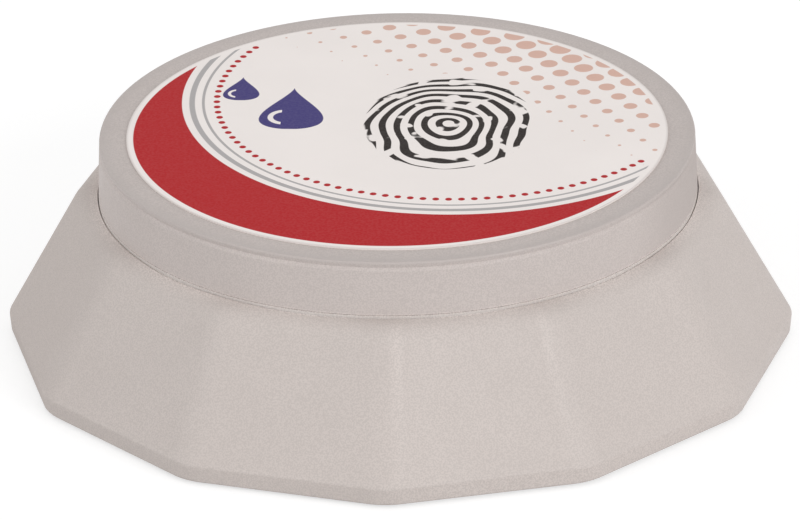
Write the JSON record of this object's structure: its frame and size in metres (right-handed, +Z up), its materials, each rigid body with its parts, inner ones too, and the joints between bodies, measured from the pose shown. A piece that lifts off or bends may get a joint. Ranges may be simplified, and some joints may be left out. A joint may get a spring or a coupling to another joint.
{
  "type": "finger moistener",
  "caption": "Low desk jar of finger-moistening gel: flared faceted base with a rounded shoulder, snap-in gel cup and a smooth round screw lid with a printed label.",
  "frame": {"origin": "on the table, under the middle of the jar, at the bottom of the anti-slip ring", "axes": "+Z up along the axis of the jar and of the lid's thread; one corner of the base points to -Y, the front"},
  "size_m": [0.0696, 0.0696, 0.0194],
  "materials": {
    "base_plastic": "fine moulded grain",
    "cup_plastic": "satin",
    "gel": "wet, slightly translucent",
    "lid_plastic": "fine moulded grain",
    "liner_foam": "foamed sheet",
    "label_film": "printed film, satin",
    "ring_rubber": "matte"
  },
  "bodies": {
    "jar": {"base_shell": "base_plastic", "gel_cup": "cup_plastic", "gel_fill": "gel", "anti_slip_ring": "ring_rubber"},
    "liner": {"lid_liner": "liner_foam"},
    "lid": {"screw_lid": "lid_plastic", "lid_label": "label_film"}
  },
  "joints": [
    {"name": "lid_lift", "type": "slide", "parent": "jar", "child": "liner", "axis": [0, 0, 1], "range_m": [0, 0.012]},
    {"name": "lid_turn", "type": "hinge", "parent": "liner", "child": "lid", "pos_m": [0, 0, 0.01433], "axis": [0, 0, 1], "range_deg": [0, 540]}
  ],
  "couplings": [
    {"joint": "lid_lift", "follows": "lid_turn", "m_per_rad": 0.0012732}
  ]
}
